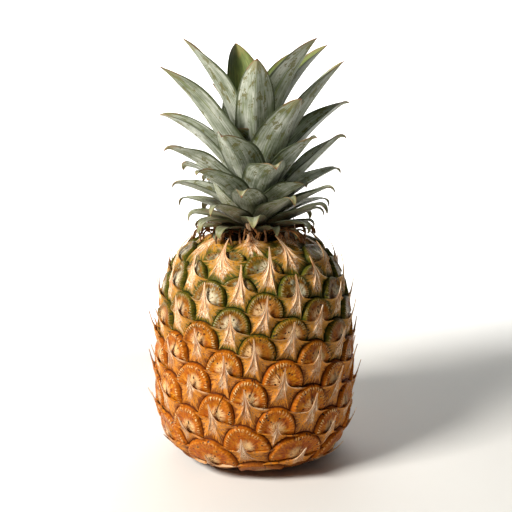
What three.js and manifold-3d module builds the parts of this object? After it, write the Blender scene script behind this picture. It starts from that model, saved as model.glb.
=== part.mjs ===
// A ripe pineapple standing on its cut base: the fruit, covered in eyes with
// their spiked bracts, and the leafy crown on top. Millimetres, +Z up, the
// origin in the middle of the flat spot that the fruit stands on.
import * as THREE from "three";
import { ConvexHull } from "three/addons/math/ConvexHull.js";
import { mergeVertices } from "three/addons/utils/BufferGeometryUtils.js";
import Module from "manifold-3d";

const wasm = await Module();
wasm.setup();

// ---------------------------------------------------------------- dimensions
// Outline of the fruit from the edge of the flat base up to the neck: radius, height.
const OUTLINE = [
  [24, 0], [36.5, 2.5], [54, 8.5], [60.6, 19], [64.2, 38], [64.6, 60],
  [63.2, 83], [60.2, 105], [54.8, 122], [46, 134.5], [35.5, 141], [26, 143.5],
];
const NECK_RADIUS = 17; // flat seat of the crown, sunk inside the ring of top eyes
const NECK_HEIGHT = 140.5;

// Eyes sit on one spiral, each a golden turn round from the last and given the
// same area, except that the eyes at the base are larger than those at the neck.
const EYES = 123;
const EYE_TURN = 137.34; // degrees from one eye to the next one up
const EYE_FRONT = 84; // the eye beside the front line
const EYE_FRONT_ANGLE = 5.9; // degrees, and where it is
const EYE_GROWTH = 0.28; // the base eyes' area over the mean, less one
const EYE_STRAY_TURN = 2; // degrees and millimetres that an eye may stray from the spiral
const EYE_STRAY_UP = 1;
const GROOVE = 2.4; // depth of the seams between the eyes
const RIM = 0.5; // rise of an eye's rim over the outline
const RIM_AT = 0.82; // place of the rim, from centre 0 to seam 1
const SEAM_BOW = 0.11; // how far a lower eye bows up into the next, over the seam's length,
const BOW_LIMIT = 1.7; // and at most
const RIM_SQUEEZE = 2.2; // pull of the top rim's eyes on the corners under them
const RIM_BOW = 2.6; // and how much more the seams there bow

// The dry spike of each bract grows out of a three-cornered root on its eye, bends
// up at a knee and ends in a point: across, up and out from the middle of the eye.
const SPIKE_ROOT = [[-3, -3.6, 1.2], [3, -3.6, 1.2], [0, 2.6, 1]];
const SPIKE_KNEE = [[-1, 2, 2.5], [1, 2, 2.5], [0, 3.2, 1.8]];
const SPIKE_TIP = [0, 9.5, 4.8];
const SPIKE_ROOM = 6; // from the middle to the rim; where there is less, the root is smaller
const FIRST_SPIKE = 14; // eyes nearer than this to the base are rubbed bare
const BRACT_RISE = 0.6; // the lower rim of an eye, under the foot of the bract

// Crown: stations down the stem, read between by leaf number. Leaf 0 faces front.
// number, root height over the neck seat, reach of the tip from the axis, rise
// of the tip, lean at the root and hook at the end (degrees from upright), width.
const CROWN_STATIONS = [
  [-13, 50, 7, 74, 2, 0, 12],
  [-9, 45, 17, 90, 5, 0, 18],
  [-6, 41, 46, 122, 8, 0, 24],
  [-2, 37, 45, 123, 6, 0, 26],
  [0, 35, 48, 114, 12, 0, 22],
  [2, 33, 56, 109, 22, 0, 25],
  [5, 30, 58, 90, 26, 15, 25],
  [8, 27, 60, 74, 32, 40, 24],
  [11, 24, 58, 60, 38, 60, 23],
  [15, 20, 57, 54, 44, 75, 22],
  [19, 16, 54, 38, 50, 85, 21],
  [23, 13, 54, 32, 54, 90, 20],
  [29, 9.5, 53, 21, 60, 95, 18],
  [36, 7, 45, 14, 62, 100, 15],
  [44, 5, 39, 8, 64, 105, 12],
  [52, 3.5, 34, 2, 66, 110, 10],
];
const LEAF_TURN = -137.508; // degrees from one leaf to the next one down
const FIRST_LEAF = -11;
const LAST_LEAF = 52;
// Leaves that grew out of line: turn in degrees, reach and rise in millimetres.
const LEAF_NUDGE = {
  "-10": [0, -1, -10], "-8": [0, -2, -8], "-7": [0, -6, -14], "-6": [0, 2, -1],
  "-5": [4, -24, -52], "-4": [6, 0, 1.5], "-3": [-4, 3, -0.5], "-2": [8, -0.5, 0.7],
  "-1": [0, -9, -1], 0: [2, 0, -4], 1: [-14, -12, -21], 2: [0, -1, 1.5], 3: [-5, 8, 3.5],
  5: [0, -8, -2], 6: [0, 5.5, -7.5], 7: [-5, 8, 5.5], 8: [0, -6, -7], 10: [-8, -14, 0],
  11: [0, -0.5, -3.5], 13: [0, 0, -8], 14: [0, 1, -15], 15: [0, 2, 9], 16: [0, -4, -6],
  18: [0, -11, -6], 19: [0, -2, -6], 20: [-17, 7.5, 2.5], 21: [0, 0, -2],
  23: [0, -3, -1.5], 24: [0, -20, 9], 26: [0, 2, 1], 27: [0, 0, -7], 28: [0, -1.5, -5],
  29: [0.5, 2, 0.5], 32: [0, -8, -6], 34: [-5.5, 0, -2], 36: [2.5, -1, 0.5],
  37: [0, -1, -4], 39: [12, 0, -4], 42: [-17, -2, -4], 40: [0, -5, -6], 44: [0, 0, 1],
  45: [0, -2, -3], 47: [2, 3, 2], 49: [0, -1.5, -2.5], 50: [-6, -1, -1],
};
const LEAF_THICK = 1.5;
const LEAF_EDGE = 0.7;
const KEEL = [0.66, 0.5]; // depth of the channel over the half width, root and tip
const STEM = [[15.5, 0], [15, 6], [11, 30], [2, 58]];
const CLEAR = 0.4; // gap between the crown and its seat

// ------------------------------------------------------------------- helpers
const rad = THREE.MathUtils.degToRad;
const lerp = THREE.MathUtils.lerp;

// A repeatable scatter between -1 and 1 for item k.
function scatter(k, salt) {
  const x = Math.sin(k * 12.9898 + salt * 78.233) * 43758.5453;
  return 2 * (x - Math.floor(x)) - 1;
}

function meshGeometry(points, faces) {
  const geometry = new THREE.BufferGeometry();
  const xyz = new Float32Array(points.length * 3);
  points.forEach((p, i) => p.toArray(xyz, i * 3));
  geometry.setAttribute("position", new THREE.BufferAttribute(xyz, 3));
  geometry.setIndex(faces.flat());
  return geometry;
}

function toSolid(geometry) {
  const bare = geometry.clone();
  bare.deleteAttribute("normal");
  bare.deleteAttribute("uv");
  const merged = mergeVertices(bare, 1e-4);
  return new wasm.Manifold(new wasm.Mesh({
    numProp: 3,
    vertProperties: Float32Array.from(merged.attributes.position.array),
    triVerts: Uint32Array.from(merged.index.array),
  }));
}

// The outer skin of a fused solid: pockets sealed between leaf bases are filled.
function fromSolid(solid) {
  const out = solid.getMesh();
  const parent = Array.from({ length: out.vertProperties.length / out.numProp }, (_, i) => i);
  const find = (i) => {
    while (parent[i] !== i) i = parent[i] = parent[parent[i]];
    return i;
  };
  for (let t = 0; t < out.triVerts.length; t += 3) {
    parent[find(out.triVerts[t])] = find(out.triVerts[t + 1]);
    parent[find(out.triVerts[t + 1])] = find(out.triVerts[t + 2]);
  }
  const skins = new Map();
  for (let t = 0; t < out.triVerts.length; t += 3) {
    const skin = find(out.triVerts[t]);
    if (!skins.has(skin)) skins.set(skin, []);
    skins.get(skin).push(out.triVerts[t], out.triVerts[t + 1], out.triVerts[t + 2]);
  }
  const largest = [...skins.values()].sort((p, q) => q.length - p.length)[0];
  const geometry = new THREE.BufferGeometry();
  const xyz = new Float32Array(parent.length * 3);
  for (let i = 0; i < parent.length; i++) {
    for (let c = 0; c < 3; c++) xyz[i * 3 + c] = out.vertProperties[i * out.numProp + c];
  }
  geometry.setAttribute("position", new THREE.BufferAttribute(xyz, 3));
  geometry.setIndex(largest);
  geometry.computeVertexNormals();
  return geometry;
}

// Joins solids pair by pair, so that no step works on a long list.
function fuse(solids) {
  while (solids.length > 1) {
    const next = [];
    for (let i = 0; i < solids.length; i += 2) {
      next.push(i + 1 < solids.length ? solids[i].add(solids[i + 1]) : solids[i]);
    }
    solids = next;
  }
  return solids[0];
}

// --------------------------------------------------------------------- fruit
// The outline as a table of length, radius, height and weighted area so far.
const curve = new THREE.CatmullRomCurve3(
  OUTLINE.map(([r, z]) => new THREE.Vector3(r, 0, z)), false, "centripetal");
const FRUIT_TOP = OUTLINE.at(-1)[1];
const TABLE = [{ s: 0, r: OUTLINE[0][0], z: 0, area: 0 }];
for (let i = 1; i <= 600; i++) {
  const p = curve.getPoint(i / 600);
  const last = TABLE.at(-1);
  const step = Math.hypot(p.x - last.r, p.z - last.z);
  const weight = 1 / (1 + EYE_GROWTH * (1 - (p.z + last.z) / FRUIT_TOP));
  TABLE.push({
    s: last.s + step, r: p.x, z: p.z,
    area: last.area + Math.PI * (p.x + last.r) * step * weight,
  });
}
const LENGTH = TABLE.at(-1).s;

function lookUp(key, value) {
  let lo = 0;
  let hi = TABLE.length - 1;
  while (hi - lo > 1) {
    const mid = (lo + hi) >> 1;
    if (TABLE[mid][key] > value) hi = mid; else lo = mid;
  }
  const a = TABLE[lo];
  const b = TABLE[hi];
  const t = THREE.MathUtils.clamp((value - a[key]) / (b[key] - a[key]), 0, 1);
  const tangent = new THREE.Vector2(b.r - a.r, b.z - a.z).normalize();
  return { s: lerp(a.s, b.s, t), r: lerp(a.r, b.r, t), z: lerp(a.z, b.z, t), tangent };
}

// A point over the outline: distance s along it, angle round, height above it.
// Angle 0 faces -Y and grows towards +X.
// Relief fades out towards the flat base, so that nothing reaches below it.
function onFruit(s, angle, height) {
  const at = lookUp("s", s);
  const fade = THREE.MathUtils.smoothstep(s, 3, 26);
  const r = at.r + at.tangent.y * height * fade;
  const z = at.z - at.tangent.x * height * fade;
  return new THREE.Vector3(r * Math.sin(angle), -r * Math.cos(angle), z);
}

const eyes = [];
for (let k = 0; k < EYES; k++) {
  const aside = EYE_STRAY_TURN * scatter(k, 20);
  const up = EYE_STRAY_UP * scatter(k, 21);
  const even = lookUp("area", ((k + 1) / (EYES + 1)) * TABLE.at(-1).area);
  const at = lookUp("s", even.s + up);
  const angle = rad(EYE_FRONT_ANGLE + EYE_TURN * (k - EYE_FRONT) + aside);
  eyes.push({ k, s: at.s, r: at.r, z: at.z, angle, corners: [] });
}

// The fruit is mapped on a ball without bending its angles, and eyes that share a
// face of the hull there meet at one corner. Two poles stand for the flat base and
// the neck. The eyes of the top rim are squeezed small by the ones below.
function findCorners() {
  let rise = 0;
  const rises = TABLE.map((q, i) => {
    if (i) rise += (2 * (q.s - TABLE[i - 1].s)) / (q.r + TABLE[i - 1].r);
    return rise;
  });
  const ball = eyes.map((e) => {
    const i = Math.max(1, TABLE.findIndex((q) => q.s >= e.s));
    const t = (e.s - TABLE[i - 1].s) / (TABLE[i].s - TABLE[i - 1].s);
    const y = lerp(rises[i - 1], rises[i], t) - rise / 2;
    return new THREE.Vector3(Math.sin(e.angle), -Math.cos(e.angle), Math.sinh(y))
      .divideScalar(Math.cosh(y));
  });
  ball.push(new THREE.Vector3(0, 0, -1), new THREE.Vector3(0, 0, 1));
  const names = new Map(ball.map((p, i) => [p, i]));
  const loops = new ConvexHull().setFromPoints(ball).faces.map((face) => {
    const ids = [];
    let edge = face.edge;
    do {
      ids.push(names.get(edge.head().point));
      edge = edge.next;
    } while (edge !== face.edge);
    return ids;
  });
  const onRim = new Set(loops.filter((ids) => ids.includes(EYES + 1)).flat());
  return loops.map((ids, id) => {
    const own = ids.filter((i) => i < EYES);
    const squeezed = own.length === 3 && own.filter((i) => onRim.has(i)).length === 2;
    const pull = own.map((i) => (squeezed && onRim.has(i) ? RIM_SQUEEZE : 1));
    const middle = own.reduce((sum, i, j) => sum.addScaledVector(
      onFruit(eyes[i].s, eyes[i].angle, 0), pull[j]), new THREE.Vector3());
    let s = own.reduce((sum, i, j) => sum + eyes[i].s * pull[j], 0)
      / pull.reduce((sum, q) => sum + q);
    if (ids.includes(EYES)) s = 0;
    if (ids.includes(EYES + 1)) s = LENGTH;
    const corner = {
      id, s, angle: Math.atan2(middle.x, -middle.y), eyes: own, pole: own.length < 3,
    };
    own.forEach((i) => {
      eyes[i].corners.push(corner);
      eyes[i].onRim = onRim.has(i);
    });
    return corner;
  });
}

const turn = (a, b) => Math.atan2(Math.sin(a - b), Math.cos(a - b));

// The seam between two neighbours, bowed away from the lower of the two.
function seamMiddle(a, b) {
  const shared = a.eyes.filter((i) => b.eyes.includes(i));
  const angle = a.angle + turn(b.angle, a.angle) / 2;
  let s = (a.s + b.s) / 2;
  if (shared.length === 2) {
    const [low, high] = shared.map((i) => eyes[i]).sort((p, q) => p.s - q.s);
    const across = turn(high.angle, low.angle) * high.r;
    const up = high.s - low.s;
    const length = Math.hypot(b.s - a.s, turn(b.angle, a.angle) * high.r);
    const bow = ((high.onRim ? RIM_BOW : 1) * Math.min(SEAM_BOW * length, BOW_LIMIT))
      / Math.hypot(across, up);
    s += bow * up;
    return { s, angle: angle + (bow * across) / high.r };
  }
  return { s, angle };
}

// A point near an eye: across, up and out from its middle.
function overEye(eye, [across, up, out]) {
  return onFruit(eye.s + up, eye.angle + across / eye.r, out);
}

// Fills the ring between an eye's rim and the root of its spike, going round both.
function bridge(points, eye, rim, root) {
  const bearing = (id) => {
    const p = points[id];
    const across = turn(Math.atan2(p.x, -p.y), eye.angle) * eye.r;
    const tilt = lookUp("s", eye.s).tangent;
    const up = (Math.hypot(p.x, p.y) - eye.r) * tilt.x + (p.z - eye.z) * tilt.y;
    return Math.atan2(up, across);
  };
  const after = (loop, start) => {
    const first = bearing(loop[start]);
    return loop.map((_, i) => {
      const id = loop[(start + i) % loop.length];
      return { id, at: i ? (bearing(id) - first + 4 * Math.PI) % (2 * Math.PI) : 0 };
    });
  };
  const inner = after(root, 0);
  const from = bearing(root[0]);
  let nearest = 0;
  rim.forEach((id, i) => {
    if (Math.abs(turn(bearing(id), from)) < Math.abs(turn(bearing(rim[nearest]), from))) nearest = i;
  });
  const outer = after(rim, nearest);
  const shift = turn(bearing(rim[nearest]), from);
  outer.forEach((q) => { q.at += shift; });
  outer.push({ id: outer[0].id, at: 2 * Math.PI + shift });
  inner.push({ id: inner[0].id, at: 2 * Math.PI });
  const faces = [];
  let i = 0;
  let j = 0;
  while (i < outer.length - 1 || j < inner.length - 1) {
    const goOuter = j === inner.length - 1
      || (i < outer.length - 1 && outer[i + 1].at + outer[i].at < inner[j + 1].at + inner[j].at);
    if (goOuter) {
      faces.push([outer[i].id, outer[i + 1].id, inner[j].id]);
      i += 1;
    } else {
      faces.push([outer[i].id, inner[j + 1].id, inner[j].id]);
      j += 1;
    }
  }
  return faces;
}

// From an eye's middle to the nearest stretch of its rim.
function rimDistance(eye, ring) {
  const flat = ring.map((q) => new THREE.Vector2(
    RIM_AT * turn(q.angle, eye.angle) * eye.r, RIM_AT * (q.s - eye.s)));
  return Math.min(...flat.map((p, i) => {
    const q = flat[(i + 1) % flat.length];
    return Math.abs(p.cross(q)) / p.distanceTo(q);
  }));
}

// The three-sided spike over its root. It lies flatter where the fruit turns in
// under itself, and is longer round the neck.
function spike(points, eye, root) {
  if (eye.s < FIRST_SPIKE) return [root];
  const flat = lerp(0.3, 1, THREE.MathUtils.smoothstep(eye.s, 6, 42));
  const length = (1 + 0.2 * scatter(eye.k, 1))
    * lerp(1, 1.35, THREE.MathUtils.smoothstep(eye.s, LENGTH * 0.84, LENGTH * 0.95));
  const sway = 1.5 * scatter(eye.k, 2);
  const stand = flat * (1 + 0.3 * scatter(eye.k, 3));
  const put = ([across, up, out], lean) => points.push(overEye(
    eye, [across + sway * lean, up * (lean ? length : 1), 0.9 + (out - 0.9) * stand])) - 1;
  const knee = SPIKE_KNEE.map((q) => put(q, 0));
  const tip = put(SPIKE_TIP, 1);
  const faces = [];
  for (let i = 0; i < 3; i++) {
    const n = (i + 1) % 3;
    faces.push([root[i], root[n], knee[n]], [root[i], knee[n], knee[i]], [knee[i], knee[n], tip]);
  }
  return faces;
}

function fruitBody() {
  const corners = findCorners();
  const points = corners.map((c) => onFruit(c.s, c.angle, c.pole ? 0 : -GROOVE));
  const faces = [];
  const middles = new Map();
  const border = { low: [], high: [] };
  for (const eye of eyes) {
    const place = (c) => Math.atan2(c.s - eye.s, turn(c.angle, eye.angle) * eye.r);
    eye.corners.sort((p, q) => place(p) - place(q));
    const ring = [];
    eye.corners.forEach((a, j) => {
      const b = eye.corners[(j + 1) % eye.corners.length];
      const key = [a.id, b.id].sort((p, q) => p - q).join();
      if (!middles.has(key)) {
        const m = seamMiddle(a, b);
        const edge = a.pole && b.pole;
        middles.set(key, { ...m, id: points.push(onFruit(m.s, m.angle, edge ? 0 : -GROOVE)) - 1 });
        if (edge) border[a.s < 1 ? "low" : "high"].push([a.id, middles.get(key).id, b.id]);
      }
      ring.push({ ...a }, middles.get(key));
    });
    const rim = ring.map((q) => points.push(onFruit(
      lerp(eye.s, q.s, RIM_AT), eye.angle + RIM_AT * turn(q.angle, eye.angle),
      q.s < eye.s - 3 ? RIM + BRACT_RISE : RIM)) - 1);
    const room = Math.min(1, rimDistance(eye, ring) / SPIKE_ROOM);
    const root = SPIKE_ROOT.map(([across, up, out]) => points.push(overEye(
      eye, [across * room, up * room, out])) - 1);
    ring.forEach((q, j) => {
      const n = (j + 1) % ring.length;
      faces.push([q.id, ring[n].id, rim[n]], [q.id, rim[n], rim[j]]);
    });
    faces.push(...bridge(points, eye, rim, root), ...spike(points, eye, root));
  }
  // The flat base, and the sunk seat of the crown inside the top ring.
  const base = points.push(new THREE.Vector3(0, 0, 0)) - 1;
  for (const [a, m, b] of border.low) faces.push([base, m, a], [base, b, m]);
  const seat = points.push(new THREE.Vector3(0, 0, NECK_HEIGHT)) - 1;
  const inner = new Map();
  const sunk = (i) => {
    if (!inner.has(i)) {
      const p = points[i].clone().setZ(0).setLength(NECK_RADIUS).setZ(NECK_HEIGHT);
      inner.set(i, points.push(p) - 1);
    }
    return inner.get(i);
  };
  for (const chain of border.high) {
    for (const [a, b] of [[chain[0], chain[1]], [chain[1], chain[2]]]) {
      const p = sunk(a);
      const q = sunk(b);
      faces.push([a, p, b], [b, p, q], [p, seat, q]);
    }
  }
  return toSolid(meshGeometry(points, faces));
}

// --------------------------------------------------------------------- crown
function station(number) {
  let i = 1;
  while (i < CROWN_STATIONS.length - 1 && CROWN_STATIONS[i][0] < number) i++;
  const a = CROWN_STATIONS[i - 1];
  const b = CROWN_STATIONS[i];
  const t = THREE.MathUtils.clamp((number - a[0]) / (b[0] - a[0]), 0, 1);
  const [root, reach, rise, lean, hook, width] = a.slice(1).map((v, c) => lerp(v, b[c + 1], t));
  return { root, reach, rise, lean, hook, width };
}

function stemRadius(height) {
  let i = 1;
  while (i < STEM.length - 1 && STEM[i][1] < height) i++;
  const [ra, za] = STEM[i - 1];
  const [rb, zb] = STEM[i];
  return lerp(ra, rb, THREE.MathUtils.clamp((height - za) / (zb - za), 0, 1));
}

// A leaf's middle line, which leaves the stem at one lean, bends evenly, and hooks
// over in its last part. It is drawn in small steps from the start to the end.
const LINE_STEPS = 60;
function leafLine(start, end, lean, hook, curl) {
  const goal = Math.atan2(end.x - start.x, end.y - start.y);
  const wayAt = (t, level) => lerp(lean, level, t) + hook * THREE.MathUtils.smoothstep(t, curl, 1);
  const draw = (level) => {
    const line = [new THREE.Vector2()];
    for (let i = 0; i < LINE_STEPS; i++) {
      const way = wayAt((i + 0.5) / LINE_STEPS, level);
      line.push(line[i].clone().add(new THREE.Vector2(Math.sin(way), Math.cos(way))));
    }
    return line;
  };
  let low = -1.5;
  let high = 3.5;
  for (let i = 0; i < 40; i++) {
    const tip = draw((low + high) / 2).at(-1);
    if (Math.atan2(tip.x, tip.y) < goal) low = (low + high) / 2; else high = (low + high) / 2;
  }
  const line = draw(low);
  const scale = start.distanceTo(end) / line.at(-1).length();
  return (t) => {
    const i = Math.min(Math.floor(t * LINE_STEPS), LINE_STEPS - 1);
    const way = wayAt(t, low);
    return {
      p: line[i].clone().lerp(line[i + 1], t * LINE_STEPS - i).multiplyScalar(scale).add(start),
      d: new THREE.Vector2(Math.sin(way), Math.cos(way)),
    };
  };
}

// Half width of a leaf along its length, over its greatest half width.
const BLADE = [[0, 0.66], [0.24, 0.95], [0.48, 1], [0.7, 0.86], [0.82, 0.62], [0.91, 0.36], [1, 0.04]];

function leaf(number) {
  const shape = station(number);
  const angle = rad(LEAF_TURN * number + (LEAF_NUDGE[number]?.[0] ?? 5 * scatter(number, 4)));
  const reach = shape.reach + (LEAF_NUDGE[number]?.[1] ?? 2 * scatter(number, 5));
  const rise = shape.rise + (LEAF_NUDGE[number]?.[2] ?? 3 * scatter(number, 6));
  const step = (from, to) => THREE.MathUtils.smoothstep(number, from, to);
  const line = leafLine(
    new THREE.Vector2(stemRadius(shape.root) - 2.5, shape.root), new THREE.Vector2(reach, rise),
    rad(shape.lean), rad(shape.hook), lerp(0.9, 0.74, step(14, 34)));
  // The lower leaves taper sooner and are flatter.
  const slim = 0.6 * step(16, 27) - 0.35 * step(28, 33);
  const points = [];
  for (const [t, w] of BLADE) {
    const { p, d } = line(t);
    const half = (shape.width / 2) * w
      * lerp(1.1, 1.1 - slim, THREE.MathUtils.smoothstep(t, 0.3, 0.85));
    const keel = half * lerp(KEEL[0], KEEL[1], t) * lerp(1, 0.6, step(10, 30));
    const thick = lerp(LEAF_THICK, LEAF_EDGE, t);
    // Across is level; below is the outer, keeled side of the leaf.
    const across = new THREE.Vector3(Math.cos(angle), Math.sin(angle), 0);
    const outward = new THREE.Vector3(Math.sin(angle), -Math.cos(angle), 0);
    const below = outward.clone().multiplyScalar(d.y).add(new THREE.Vector3(0, 0, -d.x));
    const middle = outward.clone().multiplyScalar(p.x).setZ(p.y + NECK_HEIGHT + CLEAR);
    const at = (u, v) => middle.clone().addScaledVector(across, u).addScaledVector(below, v);
    const inset = Math.min(0.3, half * 0.4);
    points.push(
      at(-half, -keel), at(0, 0), at(half, -keel),
      at(half - inset, -keel - LEAF_EDGE), at(0, -thick), at(inset - half, -keel - LEAF_EDGE));
  }
  const faces = [];
  const cap = [[0, 1, 5], [1, 4, 5], [1, 2, 4], [2, 3, 4]];
  const last = (BLADE.length - 1) * 6;
  for (const [a, b, c] of cap) faces.push([a, c, b], [last + a, last + b, last + c]);
  for (let row = 0; row < last; row += 6) {
    for (let i = 0; i < 6; i++) {
      const n = (i + 1) % 6;
      faces.push([row + i, row + n, row + 6 + n], [row + i, row + 6 + n, row + 6 + i]);
    }
  }
  return toSolid(meshGeometry(points, faces));
}

function stem() {
  const profile = [new THREE.Vector2(0, 0)];
  for (const [r, z] of STEM) profile.push(new THREE.Vector2(r, z));
  profile.push(new THREE.Vector2(0, STEM.at(-1)[1]));
  const geometry = new THREE.LatheGeometry(profile, 10);
  geometry.rotateX(Math.PI / 2);
  geometry.translate(0, 0, NECK_HEIGHT + CLEAR);
  return toSolid(geometry);
}

// ------------------------------------------------------------------ assembly
const leafNumbers = [];
for (let n = FIRST_LEAF; n <= LAST_LEAF; n++) leafNumbers.push(n);

const rind = new THREE.MeshStandardMaterial({ color: 0xb5762c, roughness: 0.6, metalness: 0 });
const foliage = new THREE.MeshStandardMaterial({ color: 0x7d8a6c, roughness: 0.65, metalness: 0 });

const fruit = new THREE.Mesh(fromSolid(fruitBody()), rind);
fruit.name = "fruit";
const crown = new THREE.Mesh(fromSolid(fuse([stem(), ...leafNumbers.map(leaf)])), foliage);
crown.name = "crown";

const pineapple = new THREE.Group();
pineapple.add(fruit, crown);
export default pineapple;
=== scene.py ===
# A ripe pineapple standing on its cut base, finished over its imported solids.
import math

import bmesh
import bpy
import numpy as np
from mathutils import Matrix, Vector, noise


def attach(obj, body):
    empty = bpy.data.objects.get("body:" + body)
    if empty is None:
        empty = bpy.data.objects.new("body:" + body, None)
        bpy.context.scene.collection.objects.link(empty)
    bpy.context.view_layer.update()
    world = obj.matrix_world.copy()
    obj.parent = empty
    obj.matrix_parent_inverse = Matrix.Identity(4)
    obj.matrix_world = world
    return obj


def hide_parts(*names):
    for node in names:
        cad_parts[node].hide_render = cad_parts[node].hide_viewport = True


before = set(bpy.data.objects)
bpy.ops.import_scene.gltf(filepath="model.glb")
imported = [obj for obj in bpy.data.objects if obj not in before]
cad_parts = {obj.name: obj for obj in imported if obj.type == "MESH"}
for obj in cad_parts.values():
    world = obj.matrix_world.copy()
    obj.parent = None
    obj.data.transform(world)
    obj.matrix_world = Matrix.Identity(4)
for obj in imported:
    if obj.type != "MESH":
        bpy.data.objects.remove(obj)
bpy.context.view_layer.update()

# ---------------- rind
# The skin of a ripe pineapple: fruitlets that fused as they grew, on one spiral with
# nearly a golden turn to the next. The upper half of each eye is a swollen waxy disc,
# parted from the next by a groove. The lower half is under the dry bract.
MM = 0.001
OUTLINE = [
    (24, 0), (36.5, 2.5), (54, 8.5), (60.6, 19), (64.2, 38), (64.6, 60),
    (63.2, 83), (60.2, 105), (54.8, 122), (46, 134.5), (35.5, 141), (26, 143.5),
]  # radius and height, from the edge of the flat base to the neck
NECK = (17, 140.5)  # radius and height of the crown's seat
BASE_FADE = (2, 16)  # the stretch of outline where the relief grows from the flat base
EYES = 123
EYE_TURN = 137.34  # degrees
EYE_FRONT, EYE_FRONT_ANGLE = 84, 5.9  # an eye near the front, and its bearing in degrees
EYE_GROWTH = 0.28  # share by which eyes are larger at the foot and smaller at the neck
EYE_STRAY_TURN, EYE_STRAY_UP = 2, 1  # degrees and mm that an eye may stray from the spiral
EYE_SWELL = 0.4  # mm by which one disc may stand higher or lower than the next
GROOVE = (1.5, 2.3)  # depth low on the fruit and high on it
GROOVE_DEEPENS = (60, 115)  # between these places along the outline
SEAM_STEPS = 8
SEAM_BOW, BOW_LIMIT = 0.13, 1.9  # share of a seam's length, and mm
RIM_BOW, RIM_SQUEEZE, RIM_DROP = 2.6, 2.2, 1.3  # for the top rim: two factors, and mm
SKIN_BUMP = 0.5  # mm
DISC = ((0, 0.35, 0.7, 1.1, 1.6, 2.2, 3.0, 4.2, 6.0, 9.0, 14.0),
        (0, 0.4, 1.3, 2.3, 3.0, 3.3, 3.25, 2.9, 2.5, 2.5, 2.8))  # from the seam, and rise
DISC_SUNK = 2.3  # the outline lies this far above the zero of that rise
UNDER_BRACT = ((0, 1.0, 3.0, 6.0, 10.0), (1, 0.98, 0.8, 0.45, 0.2))  # share of the groove
# Ripeness is told as a height in mm, the higher the greener. One side of the fruit is
# ahead of the other, each eye strays, a few by more, and the foot is brown and corky.
RIPE_SIDE, RIPE_BEARING, RIPE_STRAY, CORKY = 8, 2.2, 7, 32
RIPE_NUDGE = {63: 7, 66: 4, 71: 4, 76: 20, 79: 4, 81: 8}
RINGS = (0.12, 0.26, 0.4, 0.52, 0.62, 0.7, 0.76, 0.81, 0.85, 0.885, 0.915, 0.94, 0.965,
         0.985)


def scatter(number, salt):
    """A repeatable value from -1 to 1."""
    x = math.sin(number * 12.9898 + salt * 78.233) * 43758.5453
    return 2 * (x - math.floor(x)) - 1


def smooth(low, high, x):
    t = np.clip((np.asarray(x, float) - low) / (high - low), 0, 1)
    return t * t * (3 - 2 * t)


def lerp(a, b, t):
    return a + (b - a) * t


def outline_points(steps):
    """The outline as a centripetal Catmull-Rom curve through its named points."""
    p = [np.array(q, float) for q in OUTLINE]
    p = [2 * p[0] - p[1], *p, 2 * p[-1] - p[-2]]
    spans = len(OUTLINE) - 1
    out = []
    for i in range(steps + 1):
        k = min(int(i / steps * spans), spans - 1)
        t = i / steps * spans - k
        a, b, c, d = p[k:k + 4]
        gaps = [math.sqrt(math.dist(u, v)) for u, v in ((a, b), (b, c), (c, d))]
        m1 = (b - a) / gaps[0] - (c - a) / (gaps[0] + gaps[1]) + (c - b) / gaps[1]
        m2 = (c - b) / gaps[1] - (d - b) / (gaps[1] + gaps[2]) + (d - c) / gaps[2]
        m1, m2 = m1 * gaps[1], m2 * gaps[1]
        out.append(b + m1 * t + (3 * (c - b) - 2 * m1 - m2) * t * t
                   + (2 * (b - c) + m1 + m2) * t ** 3)
    return np.array(out)


profile = outline_points(600)
step = np.hypot(*np.diff(profile, axis=0).T)
along = np.concatenate([[0], np.cumsum(step)])
LENGTH = along[-1]
FRUIT_TOP = OUTLINE[-1][1]
weight = 1 / (1 + EYE_GROWTH * (1 - (profile[1:, 1] + profile[:-1, 1]) / FRUIT_TOP))
share = np.concatenate([[0], np.cumsum((profile[1:, 0] + profile[:-1, 0]) * step * weight)])
share /= share[-1]
# Past the neck the table runs on upwards, for the bracts that reach over the rim.
RIM_RISE, RIM_LEAN = 16, 1.5
along_all = np.append(along, [LENGTH + RIM_RISE])
radius_all = np.append(profile[:, 0], [OUTLINE[-1][0] - RIM_LEAN])
height_all = np.append(profile[:, 1], [FRUIT_TOP + RIM_RISE])
tangent_r = np.gradient(radius_all, along_all)
tangent_z = np.gradient(height_all, along_all)


def on_fruit(s, angle, out):
    """Points over the outline, in mm: s along it, angle round, out from it."""
    s, angle, out = np.broadcast_arrays(*(np.asarray(v, float) for v in (s, angle, out)))
    out = out * smooth(*BASE_FADE, s)
    r = np.interp(s, along_all, radius_all)
    z = np.interp(s, along_all, height_all)
    tr = np.interp(s, along_all, tangent_r)
    tz = np.interp(s, along_all, tangent_z)
    r, z = r + tz * out, z - tr * out
    return np.stack([r * np.sin(angle), -r * np.cos(angle), z], -1)


def groove(s):
    return lerp(*GROOVE, smooth(*GROOVE_DEEPENS, s))


def turn(a, b):
    return np.arctan2(np.sin(a - b), np.cos(a - b))


eyes = []
for k in range(EYES):
    aside, up = EYE_STRAY_TURN * scatter(k, 20), EYE_STRAY_UP * scatter(k, 21)
    s = float(np.interp((k + 1) / (EYES + 1), share, along)) + up
    eyes.append({
        "k": k, "s": s, "r": float(np.interp(s, along, profile[:, 0])),
        "z": float(np.interp(s, along, profile[:, 1])),
        "angle": math.radians(EYE_FRONT_ANGLE + EYE_TURN * (k - EYE_FRONT) + aside),
        "corners": [],
    })

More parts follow.
